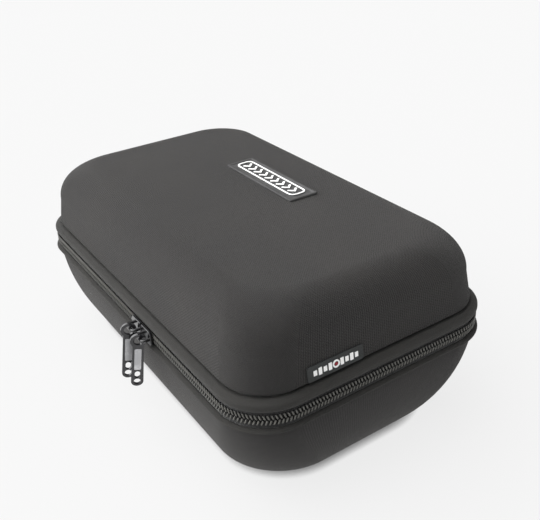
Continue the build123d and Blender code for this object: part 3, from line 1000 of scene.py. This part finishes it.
def make_patch():
    """The rubber patch on the top, with a rim all round that stands up from its face, and its motif."""
    (x0, y0, z0), (x1, y1, z1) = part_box("top_patch")
    face_z = z1 - PATCH_RIM_HEIGHT
    rings = [
        (0.0, z0 - PATCH_DEPTH),
        (0.0, z1 - 0.35 * MM),
        (0.12 * MM, z1 - 0.1 * MM),
        (0.35 * MM, z1),
        (PATCH_RIM, z1),
        (PATCH_RIM + 0.2 * MM, z1 - 0.1 * MM),
        (PATCH_RIM + 0.35 * MM, face_z),
        (PATCH_RIM + 1.2 * MM, face_z),
    ]
    vertices = []
    for inset, z in rings:
        radius = max(PATCH_CORNER - inset, PATCH_MIN_RADIUS)
        for cx, cy, first in ((x1, y1, 0), (x0, y1, 90), (x0, y0, 180), (x1, y0, 270)):
            sx, sy = (1 if cx == x1 else -1), (1 if cy == y1 else -1)
            for step in range(PATCH_CORNER_STEPS + 1):
                turn = math.radians(first + 90 * step / PATCH_CORNER_STEPS)
                x = cx - sx * (inset + radius) + radius * math.cos(turn)
                y = cy - sy * (inset + radius) + radius * math.sin(turn)
                vertices.append((x, y, z))
    columns = 4 * (PATCH_CORNER_STEPS + 1)
    faces = grid_faces(len(rings), columns)
    faces.append(tuple(reversed(range(columns))))
    faces.append(tuple((len(rings) - 1) * columns + j for j in range(columns)))
    piece = tidy_normals(make_object("top_patch_plate", vertices, faces))
    dress(piece, "patch_rubber", "lid", "patch_rubber", "top_patch")
    finish_edges(dress_node("top_patch_motif", "motif_white"), 0.1 * MM)


def make_label():
    """The label on the right-hand side of the lid, with its motif."""
    finish_edges(dress_node("side_label", "label_cloth"), 0.2 * MM)
    finish_edges(dress_node("side_label_motif", "motif_white"), 0.08 * MM)
    finish_edges(dress_node("side_label_dot", "motif_red"), 0.08 * MM)


# ---------------------------------------------------------------- fabric hinge

HINGE_ROWS, HINGE_COLUMNS = 44, 60
HINGE_THICK = 1.0 * MM
HINGE_TUCK = 0.35 * MM  # of its turned edges
HINGE_EASE = 3.5 * MM  # the height below the rim over which the strip comes in to the base's wall


def make_hinge():
    """One strip of fabric across the hinge line, and the tabs over the zip's ends."""
    low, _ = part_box("hinge_strip_base")
    _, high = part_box("hinge_strip_lid")
    back = HALF_Y
    vertices, uvs = [], []
    for face in (0, 1):
        for i in range(HINGE_ROWS + 1):
            z = low.z + (high.z - low.z) * i / HINGE_ROWS
            ease = min(1.0, max(0.0, (BASE_RIM_Z - z) / HINGE_EASE)) ** 1.5
            for j in range(HINGE_COLUMNS + 1):
                x = -HINGE_HALF + 2 * HINGE_HALF * j / HINGE_COLUMNS
                on_edge = min(i, HINGE_ROWS - i, j, HINGE_COLUMNS - j) == 0
                tuck = HINGE_TUCK if on_edge else 0.0
                y = back - tuck if face else back - HINGE_THICK + tuck * 0.5
                vertices.append((x, y - (BASE_INSET - HINGE_THICK) * ease, z))
                uvs.append((x, z))
    obj = tidy_normals(make_object("hinge_strip_cloth", vertices, sheet_faces(HINGE_ROWS, HINGE_COLUMNS), uvs))
    dress(obj, "hinge_fabric", None, "outer_fabric", "hinge_strip_base", "hinge_strip_lid")
    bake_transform(obj)
    for side in ("left", "right"):
        finish_edges(dress_node(f"zip_end_tab_{side}", "band_fabric"), 0.3 * MM, 3)


# ---------------------------------------------------------------- inside

NET_THICK = 0.35 * MM
NET_SAG = 2.2 * MM
NET_ROWS, NET_COLUMNS = 36, 64
ELASTIC_STEPS, ELASTIC_SIDES = 220, 12
ELASTIC_SQUARE = 0.6  # power below 1, which makes its section squarer
ELASTIC_END = 0.8  # share of its size at its two ends
PUCKER, PUCKER_TURN = 0.09, 1.9  # share of the elastic's size, and radians from one step to the next


def softened(node, width):
    """A foam block with the CAD's outline and soft cut edges."""
    piece = bpy.data.objects.new(f"{node}_block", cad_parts[node].data.copy())
    bpy.context.scene.collection.objects.link(piece)
    piece.matrix_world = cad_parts[node].matrix_world.copy()
    dress(finish_edges(piece, width, 3, 60), "foam", "base", "foam", node)


def net_sheet():
    """The mesh over the hinge side of the lid, stretched between its sewn edge and the elastic."""
    low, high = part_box("mesh_pocket")
    edge_radius = LID_CORNER + SEAM_INSET - (HALF_X - high.x)
    corner_x, corner_y = high.x - edge_radius, high.y - edge_radius
    vertices, uvs = [], []
    for z in (high.z, high.z - NET_THICK):
        for i in range(NET_ROWS + 1):
            y = low.y + (high.y - low.y) * math.sin(math.pi / 2 * i / NET_ROWS)
            rise = max(0.0, y - corner_y)
            half = corner_x + math.sqrt(max(edge_radius**2 - rise**2, 0.0))
            for j in range(NET_COLUMNS + 1):
                x = half * (2 * j / NET_COLUMNS - 1)
                sag = NET_SAG * math.cos(math.pi / 2 * x / half) * math.sin(math.pi * i / NET_ROWS)
                vertices.append((x, y, z - sag))
                uvs.append((x, y))
    piece = tidy_normals(make_object("mesh_pocket_net", vertices, sheet_faces(NET_ROWS, NET_COLUMNS), uvs))
    dress(piece, "mesh_fabric", "lid", "mesh_fabric", "mesh_pocket")


def elastic_edge():
    """The gathered elastic at the pocket's mouth."""
    low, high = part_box("pocket_binding")
    middle, size = (low + high) / 2, high - low
    vertices, uvs = [], []
    for i in range(ELASTIC_STEPS + 1):
        x = low.x + size.x * i / ELASTIC_STEPS
        end = 1.0 if 0 < i < ELASTIC_STEPS else ELASTIC_END
        pucker = 1.0 - PUCKER * (1 + math.sin(i * PUCKER_TURN)) * end
        for s in range(ELASTIC_SIDES):
            turn = 2 * math.pi * s / ELASTIC_SIDES
            y, z = (signed_power(f(turn), ELASTIC_SQUARE) for f in (math.cos, math.sin))
            y, z = y * size.y / 2 * pucker * end, z * size.z / 2 * pucker * end
            vertices.append((x, middle.y + y, middle.z + z))
            uvs.append((x, size.y * s / ELASTIC_SIDES))
    faces = grid_faces(ELASTIC_STEPS + 1, ELASTIC_SIDES)
    faces.append(tuple(range(ELASTIC_SIDES)))
    faces.append(tuple(ELASTIC_STEPS * ELASTIC_SIDES + s for s in range(ELASTIC_SIDES)))
    piece = tidy_normals(make_object("pocket_elastic", vertices, faces, uvs))
    dress(piece, "elastic", "lid", "binding_fabric", "pocket_binding")


def make_inside():
    """The foam pad and insert, the mesh pocket and its elastic."""
    softened("foam_pad", 1.2 * MM)
    softened("foam_insert", 1.4 * MM)
    net_sheet()
    elastic_edge()


# ---------------------------------------------------------------- sliders and pull tabs


def make_sliders():
    """Glossy black sliders, their pull tabs and the bright plates on the tabs, whose light colour paints the
    reflection on each tab's flat middle.
    """
    for side in ("left", "right"):
        finish_edges(dress_node(f"slider_{side}", "slider_metal"), 0.15 * MM)
        finish_edges(dress_node(f"pull_tab_{side}", "pull_metal"), 0.22 * MM, 3)
        finish_edges(dress_node(f"pull_plate_{side}", "plate_metal"), 0.05 * MM)


make_camera()
make_stage()
make_shells()
make_strips()
make_coils()
make_stitches()
make_patch()
make_label()
make_hinge()
make_inside()
make_sliders()
